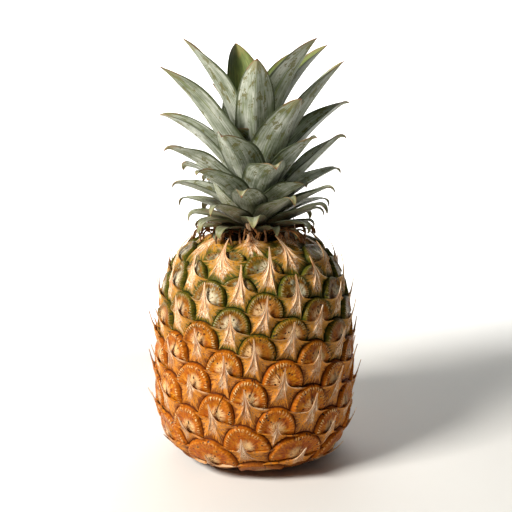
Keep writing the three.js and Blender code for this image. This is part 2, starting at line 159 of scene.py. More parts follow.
# The skin is mapped on a ball without bending its angles, and eyes that share a face of
# the hull there meet at one corner. Two poles stand for the flat base and for the neck.
mapped = np.concatenate([[0], np.cumsum(step * 2 / (profile[1:, 0] + profile[:-1, 0]))])
mapped -= mapped[-1] / 2
hull = bmesh.new()
for e in eyes:
    rise = float(np.interp(e["s"], along, mapped))
    hull.verts.new((math.sin(e["angle"]) / math.cosh(rise),
                    -math.cos(e["angle"]) / math.cosh(rise), math.tanh(rise)))
hull.verts.new((0, 0, -1))
hull.verts.new((0, 0, 1))
hull.verts.index_update()
bmesh.ops.convex_hull(hull, input=hull.verts)
hull.verts.ensure_lookup_table()
on_rim = {edge.other_vert(hull.verts[EYES + 1]).index
          for edge in hull.verts[EYES + 1].link_edges}
corners = []
for face in hull.faces:
    own = [v.index for v in face.verts if v.index < EYES]
    # The eyes of the top rim are squeezed small by the ones below.
    squeezed = len(own) == 3 and len(on_rim & set(own)) == 2
    pull = [RIM_SQUEEZE if squeezed and i in on_rim else 1 for i in own]
    middle = sum((Vector(on_fruit(eyes[i]["s"], eyes[i]["angle"], 0)) * q
                  for i, q in zip(own, pull)), Vector())
    s = sum(eyes[i]["s"] * q for i, q in zip(own, pull)) / sum(pull)
    if any(v.index == EYES for v in face.verts):
        s = 0.0
    if any(v.index == EYES + 1 for v in face.verts):
        s = LENGTH
    corner = {"id": len(corners), "s": s, "angle": math.atan2(middle.x, -middle.y),
              "eyes": own, "pole": len(own) < 3}
    corners.append(corner)
    for i in own:
        eyes[i]["corners"].append(corner)
hull.free()


def seam(a, b):
    """Points from corner a to corner b, bowed away from the lower of the two eyes."""
    t = np.linspace(0, 1, SEAM_STEPS + 1)[1:-1]
    s = lerp(a["s"], b["s"], t)
    angle = a["angle"] + turn(b["angle"], a["angle"]) * t
    shared = [eyes[i] for i in a["eyes"] if i in b["eyes"]]
    if len(shared) == 2:
        low, high = sorted(shared, key=lambda e: e["s"])
        across = turn(high["angle"], low["angle"]) * high["r"]
        rise = high["s"] - low["s"]
        length = math.hypot(b["s"] - a["s"], turn(b["angle"], a["angle"]) * high["r"])
        bow = min(SEAM_BOW * length, BOW_LIMIT) / math.hypot(across, rise)
        bow = bow * (RIM_BOW if high["k"] in on_rim else 1) * 4 * t * (1 - t)
        s = s + bow * rise
        angle = angle + bow * across / high["r"]
    return s, angle


# The skin is one mesh: rings inside each eye, joined along the shared seams.
rind_points, rind_eye, rind_look = [], [], []
rind_faces = []
seam_ids = {}
border_low, border_high = [], []


def add_rind(s, angle, out, eye_coords, look):
    """Adds points and their attributes, and returns their numbers."""
    first = len(rind_points)
    xyz = np.atleast_2d(on_fruit(s, angle, out))
    rind_points.extend(xyz)
    rind_eye.extend(np.broadcast_to(eye_coords, xyz.shape))
    rind_look.extend(np.broadcast_to(look, xyz.shape))
    return list(range(first, first + len(xyz)))


def disc_height(d, v, k, deep):
    """Relief of an eye over the outline: d to the seam, v up from the middle."""
    disc = np.interp(d, *DISC) - DISC_SUNK
    disc = np.where(disc < 0, disc * deep / DISC_SUNK, disc)
    under = -deep * np.interp(d, *UNDER_BRACT)
    swell = EYE_SWELL * scatter(k, 7)
    return lerp(under, disc + swell * smooth(1, 5, d), smooth(-1.5, 1.5, v))


for c in corners:
    c["vert"] = add_rind(c["s"], c["angle"], 0 if c["pole"] else -groove(c["s"]),
                         (0, 0, 0), (c["s"], 0, 0))[0]

for e in eyes:
    def bearing(c):
        return math.atan2(c["s"] - e["s"], turn(c["angle"], e["angle"]) * e["r"])

    e["corners"].sort(key=bearing)
    loop = []
    for a, b in zip(e["corners"], e["corners"][1:] + e["corners"][:1]):
        key = tuple(sorted((a["id"], b["id"])))
        if key not in seam_ids:
            first, last = corners[key[0]], corners[key[1]]
            s, angle = seam(first, last)
            edge = a["pole"] and b["pole"]
            ids = add_rind(s, angle, 0 if edge else -groove(s), (0, 0, 0), (first["s"], 0, 0))
            seam_ids[key] = (ids, s, angle)
            if edge:
                chain = [first["vert"], *ids, last["vert"]]
                (border_low if a["s"] < 1 else border_high).append(chain)
        ids, s, angle = seam_ids[key]
        if a["id"] != key[0]:
            ids, s, angle = ids[::-1], s[::-1], angle[::-1]
        shared = [i for i in a["eyes"] if i in b["eyes"]]
        under = len(shared) == 2 and max(shared, key=lambda i: eyes[i]["s"]) == e["k"]
        loop += [(a["vert"], a["s"], a["angle"], under), *(
            (i, p, q, under) for i, p, q in zip(ids, s, angle))]
    e["loop"] = loop
    rim_s = np.array([q[1] for q in loop])
    rim_angle = np.array([turn(q[2], e["angle"]) for q in loop])
    du, dv = rim_angle * e["r"], rim_s - e["s"]
    reach = np.hypot(du, dv)
    e["ripe"] = (e["z"] + RIPE_STRAY * scatter(e["k"], 13)
                 - RIPE_SIDE * math.sin(e["angle"] + RIPE_BEARING)
                 - CORKY * smooth(9, 4, e["z"]) + RIPE_NUDGE.get(e["k"], 0))
    look = (e["ripe"], scatter(e["k"], 11), scatter(e["k"], 12))
    e["rim"] = e["k"] in on_rim
    previous = None
    for t in RINGS:
        u, v, d = du * t, dv * t, reach * (1 - t)
        bumps = np.array([noise.noise(Vector((a * 0.3, b * 0.3, e["k"] * 3.7)))
                          for a, b in zip(u, v)])
        # An eye on the top rim is all lower half, with no disc: its bract covers it.
        v_shape = np.full_like(v, -LENGTH) if e["rim"] else v
        out = disc_height(d, v_shape, e["k"], groove(e["s"] + dv))
        out = out + SKIN_BUMP * bumps * smooth(1, 4, d) - (
            RIM_DROP * e["rim"] * smooth(0.5, 3, d))
        ids = add_rind(e["s"] + v, e["angle"] + rim_angle * t, out,
                       np.stack([u, v, d], -1), look)
        if previous is None:
            middle = add_rind(e["s"], e["angle"], 0.3, (0, 0, 12), look)[0]
            rind_faces += [(middle, ids[i - 1], ids[i]) for i in range(len(ids))]
        else:
            rind_faces += [(previous[i - 1], ids[i - 1], ids[i], previous[i])
                           for i in range(len(ids))]
        previous = ids
    rim = [q[0] for q in loop]
    rind_faces += [(previous[i - 1], rim[i - 1], rim[i], previous[i])
                   for i in range(len(rim))]


def ordered(chains):
    """One closed ring of point numbers from the seams that end at a pole."""
    chains = [list(c) for c in chains]
    ring = chains.pop(0)
    while chains:
        for c in chains:
            if c[0] == ring[-1] or c[-1] == ring[-1]:
                chains.remove(c)
                ring += (c if c[0] == ring[-1] else c[::-1])[1:]
                break
    ring = ring[:-1]
    a, b = (Vector(rind_points[i]) for i in ring[:2])
    return ring if a.cross(b).z > 0 else ring[::-1]


def close_rind(ring, levels, look, flip):
    """Closes an end of the skin with rings at the given radius and height."""
    for radius, height in levels:
        first = len(rind_points)
        for i in ring:
            p = rind_points[i]
            f = radius / math.hypot(p[0], p[1])
            rind_points.append(np.array([p[0] * f, p[1] * f, height]))
            rind_eye.append((0, 0, 0))
            rind_look.append(look)
        new = list(range(first, first + len(ring)))
        for i in range(len(ring)):
            quad = (ring[i - 1], ring[i], new[i], new[i - 1])
            rind_faces.append(quad[::-1] if flip else quad)
        ring = new
    rind_faces.append(tuple(ring[::-1] if flip else ring))


BASE_RINGS = [(19, 0), (14, 0.15), (12.2, 1.2), (11, 3)]  # in to the stalk
NECK_RINGS = [(22, 142.2), (19, 140.9), NECK, (12, 140.3)]  # in under the crown
# The hollow's value paints the neck rings near black, as painted shade under the crown.
BASE_RIPE, HOLLOW_SHADE_RIPE = -50, -90  # they stand for cork and for the dark hollow
close_rind(ordered(border_low), BASE_RINGS, (BASE_RIPE, 0, 0), True)
close_rind(ordered(border_high), NECK_RINGS, (HOLLOW_SHADE_RIPE, 0, 0), False)


def linear(code):
    """A linear colour from an sRGB hex code."""
    c = [int(code[i:i + 2], 16) / 255 for i in (1, 3, 5)]
    return (*(v / 12.92 if v <= 0.04045 else ((v + 0.055) / 1.055) ** 2.4 for v in c), 1)


def add_piece(name, points, faces, material, attributes, replaced=None, crisp=None):
    """A mesh piece from points in mm, with vector attributes, riding on the frame. It is
    smooth, save at edges that turn by more than the crisp angle in degrees."""
    mesh = bpy.data.meshes.new(name)
    mesh.from_pydata((np.asarray(points) * MM).tolist(), [], faces)
    mesh.update()
    for key, values in attributes.items():
        layer = mesh.attributes.new(key, "FLOAT_VECTOR", "POINT")
        layer.data.foreach_set("vector", np.asarray(values, np.float32).ravel())
    mesh.shade_smooth()
    if crisp:
        mesh.set_sharp_from_angle(angle=math.radians(crisp))
    mesh.materials.append(material)
    piece = bpy.data.objects.new(name, mesh)
    bpy.context.scene.collection.objects.link(piece)
    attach(piece, "root")
    if replaced:
        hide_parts(replaced)


def new_material(name):
    """An empty node material, and the call that adds a node to it."""
    material = bpy.data.materials.new(name)
    material.use_nodes = True
    tree = material.node_tree
    tree.nodes.clear()

    def add(kind, *values, at=None, out=0, stops=(), **settings):
        """Adds a node with its settings and links, and returns one of its outputs. Its
        kind is a name, or a name with the settings and output that many nodes share."""
        if isinstance(kind, tuple):
            kind, settings, out = kind
        made = tree.nodes.new("ShaderNode" + kind)
        for key, value in settings.items():
            setattr(made, key, value)
        for key, value in {**dict(enumerate(values)), **(at or {})}.items():
            if isinstance(value, bpy.types.NodeSocket):
                tree.links.new(value, made.inputs[key])
            else:
                made.inputs[key].default_value = (linear(value) if isinstance(value, str)
                                                  else value)
        for i, (place, code) in enumerate(stops):
            if i > 1:
                made.color_ramp.elements.new(1)
            made.color_ramp.elements[i].position = place
            made.color_ramp.elements[i].color = linear(code)
        return made.outputs[out] if len(made.outputs) else None

    return material, add


TIMES, PLUS, LESS = (("Math", {"operation": key}, 0)
                     for key in ("MULTIPLY", "ADD", "SUBTRACT"))
EASED = ("MapRange", {"interpolation_type": "SMOOTHSTEP"}, 0)
PAINT = ("Mix", {"data_type": "RGBA"}, 2)

# Waxy plant skin, grown and not polished: soft gloss on the swollen rims, matt in
# the grooves. Green near the crown and orange lower down, with fine radial streaks.
rind_skin, add = new_material("waxy pineapple rind")
u, v, d = add("SeparateXYZ", add("Attribute", attribute_name="eye", out=1), out=slice(3))
ripe, chance, chance2 = add("SeparateXYZ", add("Attribute", attribute_name="look", out=1),
                            out=slice(3))
green = add(EASED, ripe, 86, 112)
green_edge = add(EASED, ripe, 62, 88)
v_disc = add(LESS, v, 1)
bearing_round = add("Math", v_disc, u, operation="ARCTAN2")
from_centre = add("VectorMath", add("CombineXYZ", u, v_disc), operation="LENGTH", out=1)
own = add(TIMES, chance, 50)
place = add("CombineXYZ", u, v, own)
# Streaks 1.3 mm apart at the rim, running to the middle.
streaks = add("TexNoise",
              add("CombineXYZ", add(TIMES, bearing_round, 9), add(TIMES, from_centre, 0.3), own),
              at={"Scale": 1, "Detail": 3, "Roughness": 0.6})
# Patches about 5 mm across, with 1 mm grain in them.
patches = add("TexNoise", place, at={"Scale": 0.18, "Detail": 4, "Roughness": 0.55})
grain = add("TexNoise", place, at={"Scale": 1.1, "Detail": 2})
ripe_body = add("ValToRGB", add(PLUS, add(TIMES, streaks, 0.45), add(TIMES, patches, 0.55)),
                stops=[(0.37, "#743406"), (0.44, "#a45004"), (0.5, "#be6a06"), (0.56, "#cc8212"),
                       (0.64, "#dea850")])
green_body = add("ValToRGB", add(PLUS, add(TIMES, streaks, 0.25), add(TIMES, patches, 0.75)),
                 stops=[(0.4, "#33220a"), (0.46, "#684608"), (0.5, "#8a6a2c"), (0.54, "#7e7c60"),
                        (0.59, "#a0a38e"), (0.65, "#dcc89c")])
body = add(PAINT, at={0: green, 6: ripe_body, 7: green_body})
# Tints are laid over the body in turn, each by its own amount. Eyes that are just
# turning are brown, those at the foot are dull red, and the youngest are dark olive.
ripened = add(LESS, 1, green)
turning = add(TIMES, green_edge, ripened)
tints = [(add(TIMES, turning, 0.6), "#7c4a10"),
         (add("MapRange", ripe, 106, 128, 0, 0.65), "#544e1c"),
         (add("MapRange", ripe, 40, 8, 0, 0.4), "#a04c1c")]
# Rusty blotches, 2 mm across.
blotch = add("TexNoise", place, at={"Scale": 0.5, "Detail": 4, "Roughness": 0.65})
tints += [(add(EASED, blotch, 0.52, 0.66, 0, 0.7), "#6e2f0c")]
# Each eye has a cast of its own, from gold to rust.
rusty = add(TIMES, add("MapRange", chance2, 0.1, 0.9, 0, 0.4), ripened)
tints += [(rusty, "#984a0c")]
# A pale soft scar beside the spike, where the flower was, with a dark slit over it: the slit is
# painted shade, a dark spot with no hollow under it.
scar_aside = add(TIMES, chance2, 2.6)
scar_spot = add("VectorMath", add("CombineXYZ", add(LESS, scar_aside, u), add(LESS, v, 2.8)),
                operation="LENGTH", out=1)
scar = add(TIMES, add(EASED, scar_spot, 6.6, 2.4), add(EASED, add(PLUS, streaks, blotch), 0.8, 1))
scar_colour = add(PAINT, at={0: green, 6: "#f2cc92", 7: "#e2d8b8"})
tints += [(add(TIMES, scar, 0.8), scar_colour)]
# The swollen rim is 2 to 3 mm wide, orange or olive, with a brown ring inside it.
ring_colour = add(PAINT, at={0: green_edge, 6: "#b8640c", 7: "#8c5c10"})
ring = add(TIMES, add(EASED, add(PLUS, d, add(TIMES, streaks, 5)), 8, 6.2),
           add(EASED, patches, 0.3, 0.44))
tints += [(add(TIMES, ring, 0.85), ring_colour)]
rim_colour = add(PAINT, at={0: add(EASED, ripe, 76, 102), 6: "#c47208", 7: "#6e6212"})
rim = add(TIMES, add(EASED, d, 3.2, 2), 0.85)
tints += [(rim, rim_colour)]
# Darker down the outer slope into the groove: partly the skin's duller colour, partly painted
# shade.
slope_shade_colour = add(PAINT, at={0: green_edge, 6: "#964a04", 7: "#3a420a"})
slope = add(TIMES, add(EASED, d, 2.1, 1.3), add("MapRange", streaks, 0.42, 0.6, 0.95, 0.4))
tints += [(slope, slope_shade_colour)]
# Pale ticks across the rim, one every 1.5 mm, partly the skin's own marks and partly painted
# highlight on its small wrinkles, with painted shade in the dark lines between them.
ragged = add(PLUS, d, add(TIMES, blotch, 4))
tick_wave = add("Math", add(PLUS, add(TIMES, bearing_round, 42), add(TIMES, blotch, 14)),
                operation="SINE")
tick_place = add(TIMES, add(EASED, d, 1.5, 2), add(EASED, ragged, 6.2, 4.9))
ticks_and_highlights = add(TIMES, add(EASED, tick_wave, 0, 0.7), tick_place)
# Painted shade: dark lines in the creases between the ticks.
gaps = add(TIMES, add(EASED, tick_wave, -0.1, -0.8),
           add(TIMES, add(EASED, d, 1, 1.8), add(EASED, ragged, 7, 5.4)))
gap_shade_colour = add(PAINT, at={0: green_edge, 6: "#8a4206", 7: "#3c320a"})
tints += [(add(TIMES, gaps, 0.6), gap_shade_colour)]
broad = add("TexNoise", place, at={"Scale": 0.13, "Detail": 1})
for part in (add(TIMES, add(EASED, streaks, 0.34, 0.52),
                 add(EASED, broad, 0.4, 0.56, 0.06, 1)),
             add(EASED, ripe, -6, 10),
             add("MapRange", green_edge, 0, 1, 1, 0.7)):
    ticks_and_highlights = add(TIMES, ticks_and_highlights, part)
# Painted highlight on top of the ticks' own pale colour: near white on the ripe eyes.
tick_highlight_colour = add(PAINT, at={0: green_edge, 6: "#ffdf9c", 7: "#bcc09a"})
tints += [(add(TIMES, ticks_and_highlights, 0.85), tick_highlight_colour)]
slit_across = add(TIMES, add(LESS, u, scar_aside), 2.6)
slit_spot = add("VectorMath", add("CombineXYZ", slit_across, add(LESS, v, 5.6)),
                operation="LENGTH", out=1)
# Painted shade in the slit.
slit_shade = add(TIMES, add(EASED, slit_spot, 1.7, 0.9), add(EASED, patches, 0.42, 0.55))
tints += [(slit_shade, "#2a1508")]
# A fold from the slit to the rim, on about a third of the eyes: pressed into the bump, and
# painted dark as painted shade in its crease.
fold_lean = add(TIMES, v, add(TIMES, chance2, 0.5))
fold_line = add(PLUS, add(LESS, u, fold_lean), add(TIMES, add(LESS, patches, 0.5), 6))
fold = add(TIMES, add(EASED, add("Math", fold_line, operation="ABSOLUTE"), 0.6, 0.1),
           add(TIMES, add(EASED, v, 4, 5), add(EASED, chance, 0.3, 0.4)))
# Painted shade along the fold's crease.
tints += [(add(TIMES, fold, 0.7), "#5a2a0a")]
# Dark flecks up to a millimetre across, the cork, and painted shade: dark in the grooves, and
# near black in the hollow under the crown.
flecks = add("TexVoronoi", place, at={"Scale": 0.34})
fleck = add(TIMES, add(EASED, flecks, 0.26, 0.14), add(EASED, patches, 0.46, 0.5))
groove_shade_colour = add(PAINT, at={0: green_edge, 6: "#58260a", 7: "#242e08"})
tints += [(fleck, "#2b211c"),
          (add(EASED, d, 1, 0.3), groove_shade_colour),
          (add(EASED, ripe, -5, -40), "#6a3c1a"),
          (add(EASED, ripe, -60, -85), "#140a04")]
for amount, tint in tints:
    body = add(PAINT, at={0: amount, 6: body, 7: tint})
ridges = add(LESS, add(PLUS, ticks_and_highlights, streaks), fold)
bump = add("Bump", 0.8, 0.0008, at={"Height": ridges})
bump = add("Bump", 0.4, 0.0006, at={"Height": grain, "Normal": bump})
gloss = add("MapRange", d, 0.6, 2, 0.8, 0.4)
add("OutputMaterial",
    add("BsdfPrincipled", body,
        at={"Roughness": gloss, "Normal": bump, "IOR": 1.45, "Subsurface Weight": 0.03,
            "Subsurface Scale": 0.002, "Specular IOR Level": 0.12, "Coat Weight": 0.05,
            "Coat Roughness": 0.14}))

add_piece("rind", rind_points, rind_faces, rind_skin,
          {"eye": rind_eye, "look": rind_look}, "fruit")

# ---------------- stalk end
# The stump of the stalk, cut through level with the fruit and dried: woody, pale tan in
# the middle with darker fibre bundles, and browned at its edge. It grew into the fruit.
STALK_PROFILE = [(4, 1.3), (8, 1.4), (10, 1.7), (10.7, 2.1), (10.8, 2.9)]
STALK_MIDDLE = (0, 0, 1.25)
STALK_ROUND = 64
SAW_MARKS, CUT_TOP = 0.2, 2.5  # roughness of the cut, and the height where it ends


def turned(levels, count):
    """Points round rings of the given radius and height, and the faces between them."""
    bearings = [2 * math.pi * i / count for i in range(count)]
    points = [(radius * math.cos(a), radius * math.sin(a), height)
              for radius, height in levels for a in bearings]
    faces = [(k + i, k + (i + 1) % count, k + count + (i + 1) % count, k + count + i)
             for k in range(0, len(points) - count, count) for i in range(count)]
    return points, faces


stalk_points, stalk_faces = turned(STALK_PROFILE, STALK_ROUND)
stalk_points = [(x, y, z + SAW_MARKS * noise.noise(Vector((x, y, 0.5))) * (z < CUT_TOP))
                for x, y, z in stalk_points]
stalk_faces += [(len(stalk_points), (i + 1) % STALK_ROUND, i) for i in range(STALK_ROUND)]
stalk_faces.append(tuple(range(len(stalk_points) - STALK_ROUND, len(stalk_points))))
stalk_points.append(STALK_MIDDLE)

# Dried wood, sawn across its fibres: matt, tan, with bundles a millimetre apart.
stalk_wood, add = new_material("dried pineapple stalk")
place = add("Attribute", attribute_name="cut", out=1)
bundles = add("TexVoronoi", place, at={"Scale": 0.9})
blotches = add("TexNoise", place, at={"Scale": 0.35, "Detail": 4})
colour = add("ValToRGB", add(PLUS, add(TIMES, bundles, 0.5), add(TIMES, blotches, 0.6)),
             stops=[(0.3, "#543a20"), (0.5, "#8e6c44"), (0.7, "#b8966a")])
from_middle = add("VectorMath", place, operation="LENGTH", out=1)
colour = add(PAINT, at={0: add(EASED, from_middle, 7.5, 10.5), 6: colour, 7: "#4e321a"})
bump = add("Bump", 0.5, 0.0005, at={"Height": bundles})
add("OutputMaterial", add("BsdfPrincipled", colour, at={"Roughness": 0.8, "Normal": bump}))
add_piece("stalk_end", stalk_points, stalk_faces, stalk_wood, {"cut": stalk_points},
          "fruit")

# ---------------- bracts
# Under each disc grew one small leaf, now dead: a dry papery sheet over the lower half
# of the eye. Its two wings and two legs run into the grooves, and all its fibres gather
# into one stiff spike that stands up off the disc.
BRACT_ACROSS, BRACT_ALONG = 36, 14
BRACT_THICK = 0.4
BRACT_SUNK, BRACT_BACK = 1.6, 5  # mm down at the foot, whose rows have no underside
LOWEST_BRACT = 27  # mm along the outline: the eyes below it keep none
SHORTEST_FOOT = 9  # points
SPIKE_LENGTH, SPIKE_OUT = 10.5, 5.8
STRAP_RISE, STRAP_STRAY, STRAP_OUT = 9, 3, 1.2  # past the neck, its stray, and how far out
# Half widths at the waist, the neck and the tip, for a bract and for a strap.
BRACT_HALF, STRAP_HALF = (2.0, 1.3, 0.3), (2.2, 1.8, 1.7)
# How far out the foot, the waist, the neck and the tip lie.
BRACT_OUT = (0.35, 1.3, 1.9, 0.9)
bract_points, bract_faces, bract_fibre, bract_look = [], [], [], []


def lower_chain(e, rim):
    """The seams under an eye, from its left wing round to its right one, in mm. An eye
    on the top rim is all bract, so there the wings go up to the rim."""
    loop = e["loop"]
    ahead = loop[1:] + loop[:1]
    if rim:
        low_edge = [not (q[1] > LENGTH - 0.1 and n[1] > LENGTH - 0.1)
                    for q, n in zip(loop, ahead)]
    else:
        low_edge = [q[3] or (q[1] < 1 and n[1] < 1) for q, n in zip(loop, ahead)]
    starts = [i for i in range(len(loop)) if low_edge[i] and not low_edge[i - 1]]
    best = []
    for first in starts:
        run = [loop[first]]
        i = first
        while low_edge[i % len(loop)] and len(run) <= len(loop):
            i += 1
            run.append(loop[i % len(loop)])
        if len(run) > len(best):
            best = run
    return np.array([(turn(q[2], e["angle"]) * e["r"], q[1] - e["s"]) for q in best])


def bezier(a, b, c, d, t):
    return a * (1 - t) ** 3 + 3 * b * t * (1 - t) ** 2 + 3 * c * t * t * (1 - t) + d * t ** 3


for e in eyes:
    # Bracts on the top rim end in torn straps that bridge to the crown.
    strap = float(e["rim"])
    chain = lower_chain(e, strap)
    if len(chain) < SHORTEST_FOOT or e["s"] < LOWEST_BRACT:
        continue
    k = e["k"]
    w = np.linspace(-1, 1, BRACT_ACROSS + 1)
    side = np.abs(w)
    # Wings and legs keep the corners of the cell as their tips.
    place = (w + 1) / 2 * (len(chain) - 1)
    foot = np.stack([np.interp(place, np.arange(len(chain)), chain[:, i]) for i in (0, 1)])
    tip_like = np.abs(np.cos(math.pi * place / SEAM_STEPS)) ** 8
    vary = np.array([scatter(k, 70 + round(p / SEAM_STEPS)) for p in place])
    crease = tip_like * (0.55 + 0.45 * vary)
    foot = foot * (0.985 + 0.02 * tip_like + (0.22 - 0.2 * strap) * smooth(0.82, 1, side))
    t = np.linspace(0, 1, BRACT_ALONG + 1)[:, None]
    flat = lerp(0.1, 1, smooth(14, 44, e["s"]))
    stand = flat * (1 + 0.3 * scatter(k, 3))
    long = (1 + 0.2 * scatter(k, 1)) * lerp(1, 1.45, smooth(0.82, 0.92, e["s"] / LENGTH))
    long = lerp(long, (LENGTH + STRAP_RISE + STRAP_STRAY * scatter(k, 1) - e["s"])
                / SPIKE_LENGTH, strap)
    sway = (1.5 + 3 * strap) * scatter(k, 7 * strap + 2)
    waist, neck, tip = (lerp(a, b, strap) for a, b in zip(BRACT_HALF, STRAP_HALF))
    u = bezier(foot[0], waist * w, neck * w, tip * w + sway, t)
    top = strap * (LENGTH - 1 - e["s"])
    v = bezier(foot[1], top - 2.8 + 1.3 * side ** 1.5, top + 1.5 - 1.7 * side,
               SPIKE_LENGTH * long, t)
    foot_out, waist_out, neck_out, tip_out = BRACT_OUT
    h = bezier(foot_out - groove(e["s"]) + 1.6 * side ** 6, waist_out + 0.4 * side, neck_out,
               lerp(lerp(tip_out, SPIKE_OUT, stand), STRAP_OUT, strap), t)
    # Creases stand up along the legs and wings, and the sheet sags between them.
    h = h + (0.55 - 0.35 * strap) * crease * 4 * t * (1 - t) ** 2 - (
        0.35 * (1 - strap) * (1 - tip_like) * np.sin(math.pi * np.minimum(1, t * 1.2)) ** 2)
    h = h + 0.5 * (1 - side) * smooth(0.5, 0.8, t) * (1 - t) * 2
    crumple = np.array([[noise.noise(Vector((a * 0.5, b * 0.5, k * 5.1)))
                         for a, b in zip(row_u, row_v)] for row_u, row_v in zip(u, v)])
    h = h + 0.6 * crumple * (1 - t) ** (1 + 2 * strap)
    first = len(bract_points)
    row = BRACT_ACROSS + 1
    rows = BRACT_ALONG + 1
    sunk = np.where(t * BRACT_ALONG < BRACT_BACK, BRACT_SUNK, BRACT_THICK)
    for lift in (0, -sunk):
        xyz = on_fruit(e["s"] + v, e["angle"] + u / e["r"], h + lift)
        bract_points.extend(xyz.reshape(-1, 3))
        bract_fibre.extend(np.stack(np.broadcast_arrays(w, t, 0), -1).reshape(-1, 3))
        bract_look.extend(np.stack(np.broadcast_arrays(
            e["ripe"], scatter(k, 11), crease + 0 * t), -1).reshape(-1, 3))
    for i in range(BRACT_ALONG):
        for j in range(BRACT_ACROSS):
            a = first + i * row + j
            quad = (a, a + 1, a + row + 1, a + row)
            bract_faces.append(quad)
            if i >= BRACT_BACK:
                bract_faces.append(tuple(q + row * rows for q in quad[::-1]))
    edge = [first + i * row + row - 1 for i in range(rows)]
    edge += [first + BRACT_ALONG * row + j for j in range(row - 2, -1, -1)]
    edge += [first + i * row for i in range(BRACT_ALONG - 1, -1, -1)]
    for a, b in zip(edge, edge[1:]):
        bract_faces.append((b, a, a + row * rows, b + row * rows))

# Dead leaf, dried in the sun: matt, fibrous, pink tan to cream, with rust and grey
# flecks. The edges still hold some of the rind's green or orange.
bract_skin, add = new_material("dry papery bract")
w, t = add("SeparateXYZ", add("Attribute", attribute_name="fibre", out=1), out=slice(2))
ripe, chance, crease = add("SeparateXYZ", add("Attribute", attribute_name="look", out=1),
                           out=slice(3))
own = add(TIMES, chance, 40)
green = add(EASED, ripe, 72, 108)
# Fibres about half a millimetre apart where the bract is widest, with broad patches,
# fine specks and longer flecks. Each has its fineness across and along, and its detail.
fibres, patches, specks, flecks = (
    add("TexNoise", add("CombineXYZ", add(TIMES, w, across),
                        add(TIMES, t, lengthwise), own),
        at={"Scale": 1, "Detail": detail, "Roughness": rough})
    for across, lengthwise, detail, rough in (
        (15, 2.2, 4, 0.65), (2.4, 3, 3, 0.6), (26, 14, 3, 0.7), (16, 22, 2, 0.5)))
fibrous = add("MapRange", t, 0.2, 0.55)
grain = add("Mix", fibrous, at={2: specks, 3: fibres})
colour = add("ValToRGB", grain,
             stops=[(0.36, "#642c08"), (0.43, "#b06c34"), (0.49, "#dcaa74"), (0.54, "#f2d2a8"),
                    (0.6, "#fff6e2")])
stain = add(TIMES, add(EASED, patches, 0.44, 0.6), add("MapRange", green, 0, 1, 0.65, 0.16))
tints = [(stain, "#98521c")]
# The sheet is browner towards its foot, in fine broken specks.
brown = add(TIMES, add(EASED, specks, 0.46, 0.6), add(EASED, t, 0.5, 0.15))
# Wings and foot keep the colour of the rind, ochre above and orange below.
wing_colour = add(PAINT, at={0: green, 6: "#dc8a1c", 7: "#bc8216"})
foot_and_shade_colour = add(PAINT, at={0: green, 6: "#7a3c08", 7: "#464c0c"})
mottle = add(TIMES, add(EASED, specks, 0.42, 0.6),
             add("MapRange", patches, 0.36, 0.56, 0.05, 0.5))
wing_colour = add(PAINT, at={0: mottle, 6: wing_colour, 7: foot_and_shade_colour})
inward = add(LESS, t, add(TIMES, add(PLUS, patches, fibres), 0.3))
inward = add(LESS, inward, add(TIMES, add("Math", w, operation="ABSOLUTE"), 0.42))
inward = add(PLUS, inward, add(TIMES, green, 0.09))
flesh = add(TIMES, add(EASED, inward, -0.08, -0.26), 0.84)
tints += [(flesh, wing_colour)]
tints += [(add(TIMES, brown, add("MapRange", green, 0, 1, 0.6, 0.15)), "#6e3410")]
# Painted shade: a ragged band along each bract's foot goes dark where the sheet curls down into
# the groove.
torn = add(PLUS, t, add(TIMES, add(LESS, fibres, 0.5), 0.7))
foot_shade = add(TIMES, add(EASED, torn, add("MapRange", ripe, 112, 132, 0.1, 0.17), 0), 0.95)
tints += [(foot_shade, foot_and_shade_colour)]
# Cream along the raised creases: partly paler fibre, partly painted highlight on the ridges.
crease_highlight = add(TIMES, add(EASED, crease, 0.6, 1), add(EASED, t, 0.05, 0.2))
tints += [(add(TIMES, crease_highlight, 0.6), "#f6e2ba")]
# At the very foot the bracts are brown all over.
tints += [(add("MapRange", ripe, 4, -10, 0, 0.85), "#744420")]
fleck = add(TIMES, add(EASED, flecks, 0.61, 0.67), add(EASED, t, 0.6, 0.3))
tints += [(add(TIMES, fleck, 0.8), "#4a3a34")]
for amount, tint in tints:
    colour = add(PAINT, at={0: amount, 6: colour, 7: tint})
bump = add("Bump", 0.5, 0.0005, at={"Height": fibres})
add("OutputMaterial",
    add("BsdfPrincipled", colour,
        at={"Roughness": 0.58, "Normal": bump, "IOR": 1.45, "Specular IOR Level": 0.2}))

add_piece("bracts", bract_points, bract_faces, bract_skin,
          {"fibre": bract_fibre, "look": bract_look}, "fruit", crisp=55)

# ---------------- crown leaves
# Stiff succulent leaves on a short stem, on one spiral like the eyes: long and upright
# inside, short and low outside, each with its end curled back to a small dry hook. A
# leaf is channelled above and keeled below, with a pale wax bloom and a dark edge.
CROWN_STATIONS = [
    (-13, 50, 7, 74, 2, 0, 12),
    (-9, 45, 17, 90, 5, 0, 18),
    (-6, 41, 46, 122, 8, 0, 24),
    (-2, 37, 45, 123, 6, 0, 26),
    (0, 35, 48, 114, 12, 0, 22),
    (2, 33, 56, 109, 22, 0, 25),
    (5, 30, 58, 90, 26, 15, 25),
    (8, 27, 60, 74, 32, 40, 24),
    (11, 24, 58, 60, 38, 60, 23),
    (15, 20, 57, 54, 44, 75, 22),
    (19, 16, 54, 38, 50, 85, 21),
    (23, 13, 54, 32, 54, 90, 20),
    (29, 9.5, 53, 21, 60, 95, 18),
    (36, 7, 45, 14, 62, 100, 15),
    (44, 5, 39, 8, 64, 105, 12),
    (52, 3.5, 34, 2, 66, 110, 10),
]  # number, root height, reach and rise of the tip, lean at the root, hook, width
LEAF_TURN = -137.508  # degrees
LEAVES = range(-11, 53)
